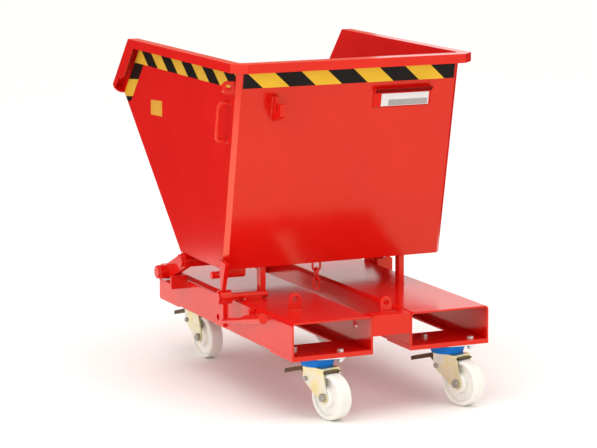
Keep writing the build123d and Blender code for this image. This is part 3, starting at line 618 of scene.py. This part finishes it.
chassis_welds = []
posts = box_mm("support_posts")
for x0, x1 in ((posts.x0, posts.x0 + POST_WIDTH), (posts.x1 - POST_WIDTH, posts.x1)):
    chassis_welds.append(foot_loop(x0, x1, posts.y0, posts.y1, posts.z0))
for name in ("lashing_eye", "rear_lug"):
    lug = box_mm(name)
    chassis_welds.append(foot_loop(lug.x0, lug.x1, lug.y0, lug.y1, lug.z0))
for name, wall in (("pivot_bracket_left", -SIDE_PLATE_X), ("pivot_bracket_right", SIDE_PLATE_X)):
    bracket = box_mm(name)
    chassis_welds.append(
        line(
            (wall, bracket.y0, BRACKET_WELD_TOP),
            (wall, bracket.y0, bracket.z0),
            (wall, bracket.y1, bracket.z0),
            (wall, bracket.y1, BRACKET_WELD_TOP),
        )
    )
for name, wall in (("side_plate_left", -POCKET_OUTER_X), ("side_plate_right", POCKET_OUTER_X)):
    side_plate = box_mm(name)
    weld_foot = side_plate.z0 + SIDE_PLATE_MARGIN
    chassis_welds.append(
        line(
            (wall, side_plate.y0, weld_foot),
            (wall, side_plate.y0, side_plate.z1),
            (wall, side_plate.y1, side_plate.z1),
            (wall, side_plate.y1, weld_foot),
        )
    )
bead("weld_chassis", chassis_welds, CHASSIS_BEAD, "chassis")

# Welds of the hopper: inside seams, lifting lug, rear hook and side handle
CORNER_FOLD = 11.2
SEAM_TOP_Z = RIM_Z - 6
SEAM_LOW_Z = FLOOR_Z + SHEET
SEAM_LIP_Y = LIP_Y - 4
SEAM_LIP_Z = LIP_Z - 1
HANDLE_WELD_INSET = 5.0
HANDLE_WELD_RADIUS = 5.2

hopper_welds = []
for x in (SHEET - SIDE_X, SIDE_X - SHEET):
    hopper_welds.append(
        line(
            (x, rear_y(SEAM_TOP_Z) + CORNER_FOLD, SEAM_TOP_Z),
            (x, rear_y(SEAM_LOW_Z) + CORNER_FOLD, SEAM_LOW_Z),
            (x, CHUTE_FOOT_Y, SEAM_LOW_Z),
            (x, SEAM_LIP_Y, SEAM_LIP_Z),
        )
    )
lifting_lug = box_mm("lifting_lug")
for y in (lifting_lug.y0, lifting_lug.y1):
    hopper_welds.append(line((-SIDE_X, y, lifting_lug.z0), (-SIDE_X, y, lifting_lug.z1)))
hook = box_mm("rear_hook")
for x in (hook.x0, hook.x1):
    hopper_welds.append(line((x, rear_y(hook.z0), hook.z0), (x, rear_y(hook.z1), hook.z1)))
handle = box_mm("side_handle")
handle_y = (handle.y0 + handle.y1) / 2
handle_z = (handle.z0 + handle.z1) / 2
for z in (handle.z0 + HANDLE_WELD_INSET, handle.z1 - HANDLE_WELD_INSET):
    y = handle_y - (z - handle_z) * REAR_SLOPE
    hopper_welds.append(circle_x(-SIDE_X, y, z, HANDLE_WELD_RADIUS))
bead("weld_hopper", hopper_welds, HOPPER_BEAD, "hopper")

# Blank grey field on the lower half of the plate, just clear of its face
FIELD_LEFT = 17.0
FIELD_RIGHT = 3.0
FIELD_LOW = 2.0
FIELD_RISE = 1.0
FIELD_LIFT = 0.02
FIELD_THICK = 0.12

plate = box_mm("type_plate")
field_x0 = plate.x0 + FIELD_LEFT
field_x1 = plate.x1 - FIELD_RIGHT
field_z0 = plate.z0 + FIELD_LOW
field_z1 = (plate.z0 + plate.z1) / 2 + FIELD_RISE
field = [(field_x0, field_z0), (field_x1, field_z0), (field_x1, field_z1), (field_x0, field_z1)]
outermost = min(
    (v.co for v in nodes["type_plate"].data.vertices), key=lambda p: p.y + p.z * REAR_SLOPE
)
plate_lift = (rear_y(outermost.z * 1000) - (outermost.y - MOUTH_Y) * 1000) * REAR_COS
foil(
    "plate_field",
    [(field, 0)],
    on_rear,
    [plate_grey],
    lift=plate_lift + FIELD_LIFT,
    thickness=FIELD_THICK,
)

# Floor
FLOOR_HALF = 40.0
FLOOR_DROP = 0.0002
floor_mesh = bpy.data.meshes.new("studio_floor")
floor_mesh.from_pydata(
    [
        (-FLOOR_HALF, -FLOOR_HALF, 0),
        (FLOOR_HALF, -FLOOR_HALF, 0),
        (FLOOR_HALF, FLOOR_HALF, 0),
        (-FLOOR_HALF, FLOOR_HALF, 0),
    ],
    [],
    [(0, 1, 2, 3)],
)
floor = bpy.data.objects.new("studio_floor", floor_mesh)
floor.location.z = cad_low.z - FLOOR_DROP
scene.collection.objects.link(floor)


def stage_material(name, scale, deep, light, rough):
    """Matt studio surface with a faint mottle."""
    material, tree, shader = new_material(name)
    cloud = ramp(tree, noise(tree, scale), mottle(deep, light))
    tree.links.new(cloud, shader.inputs["Base Color"])
    set_inputs(shader, {"Roughness": rough})
    return material


floor_mesh.materials.append(
    stage_material(
        "studio_floor", 1.2, deep=(0.94, 0.925, 0.905), light=(0.96, 0.945, 0.925), rough=0.75
    )
)

# Light
LAMP_COLOUR = (1.0, 0.98, 0.96)
world = bpy.data.worlds.new("studio")
scene.world = world
world.use_nodes = True
set_inputs(
    world.node_tree.nodes["Background"], {"Color": (1.0, 0.99, 0.98, 1.0), "Strength": 1.08}
)


def softbox(name, place, target, size, power):
    light = bpy.data.lights.new(name, "AREA")
    light.shape = "RECTANGLE"
    light.size, light.size_y = size
    light.energy = power
    light.color = LAMP_COLOUR
    obj = bpy.data.objects.new(name, light)
    obj.location = place
    obj.rotation_mode = "QUATERNION"
    obj.rotation_quaternion = (Vector(target) - Vector(place)).to_track_quat("-Z", "Y")
    scene.collection.objects.link(obj)
    return obj


softbox("light_top", place=(-0.1, -0.4, 3.3), target=(0, 0, 0.2), size=(3.2, 3.2), power=42.0)
softbox("light_left", place=(-3.2, -1.2, 1.2), target=(0, 0, 0.3), size=(1.8, 1.4), power=18.0)

# A light on the floor that only reflections see, for the bevelled rear left corner
corner_light = softbox(
    "light_corner",
    place=(-1.1, -0.52, 0.01),
    target=(-1.1, -0.52, 1.0),
    size=(1.1, 0.6),
    power=5.4,
)
corner_light.visible_diffuse = False
corner_light.visible_camera = False

# Studio cards that only reflections see, in planes of (centre, direction across)
FRONT_PLANE = (Vector((-0.86, 1.45, 0.95)), Vector((0.9, 0.4, 0)).normalized())
RIGHT_PLANE = (Vector((1.3, 0.3, 0.5)), Vector((0, 1, 0)))
DARK = ((0.02, 0.02, 0.02), (0.03, 0.03, 0.03))
WARM = ((0.55, 0.15, 0.085), (0.62, 0.18, 0.10))


def studio_card(name, plane, across, upright, tones):
    """Upright card over two spans of a plane.

    The dark ones keep the left side and the right corner deep in colour, and the warm one
    tones the rim's top face.
    """
    centre, along = plane
    start, end = across
    low, high = upright
    deep, light = tones
    mesh = bpy.data.meshes.new(name)
    corners = ((start, low), (end, low), (end, high), (start, high))
    mesh.from_pydata(
        [centre + along * u + Vector((0, 0, v)) for u, v in corners], [], [(0, 1, 2, 3)]
    )
    card = bpy.data.objects.new(name, mesh)
    scene.collection.objects.link(card)
    mesh.materials.append(stage_material(name, 3.0, deep, light, rough=0.9))
    card.visible_camera = False
    card.visible_diffuse = False
    card.visible_shadow = False
    card.visible_transmission = False


studio_card("studio_flag", FRONT_PLANE, across=(-1.6, 1.0), upright=(-0.95, 0.9), tones=DARK)
studio_card("studio_card", FRONT_PLANE, across=(1.0, 2.4), upright=(-0.1, 0.9), tones=WARM)
studio_card("studio_flag_right", RIGHT_PLANE, across=(-0.6, 0.6), upright=(-0.49, 0.5), tones=DARK)

# Camera at the photograph's viewpoint
IMAGE_WIDTH = 597.0
FOCAL_PX = 2622.3
SENSOR_WIDTH = 36.0
CAMERA_PLACE = (-2380.79, -4865.70, 1313.97)
YAW, PITCH, ROLL = 0.418805, 0.166222, -0.003616
forward = Vector(
    (math.sin(YAW) * math.cos(PITCH), math.cos(YAW) * math.cos(PITCH), -math.sin(PITCH))
)
level = Vector((math.cos(YAW), -math.sin(YAW), 0))
upward = level.cross(forward)
cam_x = level * math.cos(ROLL) + upward * math.sin(ROLL)
cam_y = upward * math.cos(ROLL) - level * math.sin(ROLL)
camera_data = bpy.data.cameras.new("camera")
camera_data.sensor_width = SENSOR_WIDTH
camera_data.lens = SENSOR_WIDTH * FOCAL_PX / IMAGE_WIDTH
camera_data.clip_end = 100.0
camera = bpy.data.objects.new("camera", camera_data)
scene.collection.objects.link(camera)
heading = Matrix((cam_x, cam_y, -forward)).transposed().to_4x4()
camera.matrix_world = Matrix.Translation(at(*CAMERA_PLACE)) @ heading
scene.camera = camera
scene.view_settings.view_transform = "Standard"
